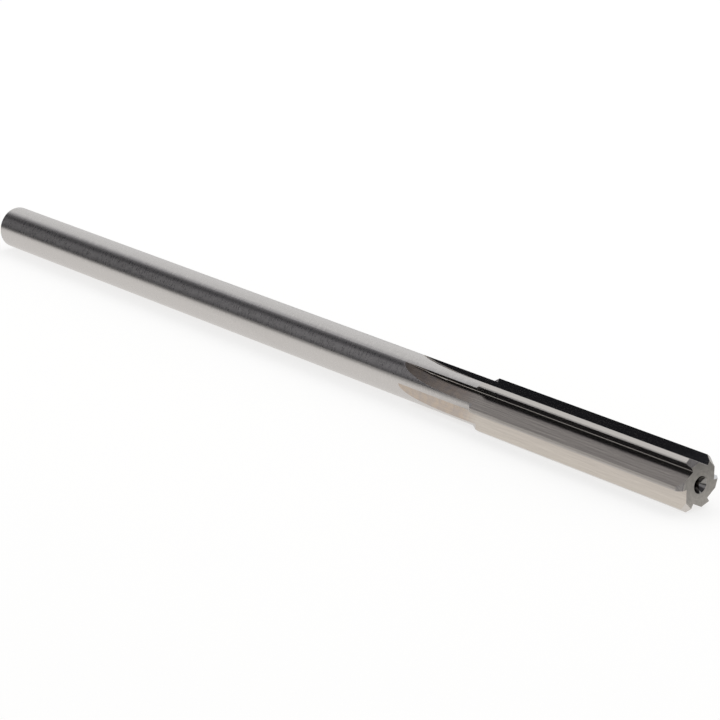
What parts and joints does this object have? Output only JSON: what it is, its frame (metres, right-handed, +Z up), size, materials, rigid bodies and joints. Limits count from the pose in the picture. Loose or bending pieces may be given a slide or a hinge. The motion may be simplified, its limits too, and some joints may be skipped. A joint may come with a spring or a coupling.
{
  "type": "machine reamer",
  "caption": "Straight-shank machine reamer with straight ground flutes, a bevelled cutting end and a centre hole in each end.",
  "frame": {"origin": "centre of the shank's rear face, on the tool's axis", "axes": "+X along the axis from the shank to the cutting end; +Z up with the tool lying at rest on one cutting edge and the heel of the next tooth; +Y completes the right-handed frame"},
  "size_m": [0.1778, 0.0092, 0.0084],
  "materials": {
    "ground_steel": "bright ground high-speed steel, ground round on the shank and along the flutes"
  },
  "bodies": {
    "root": {"reamer": "ground_steel"}
  },
  "joints": []
}
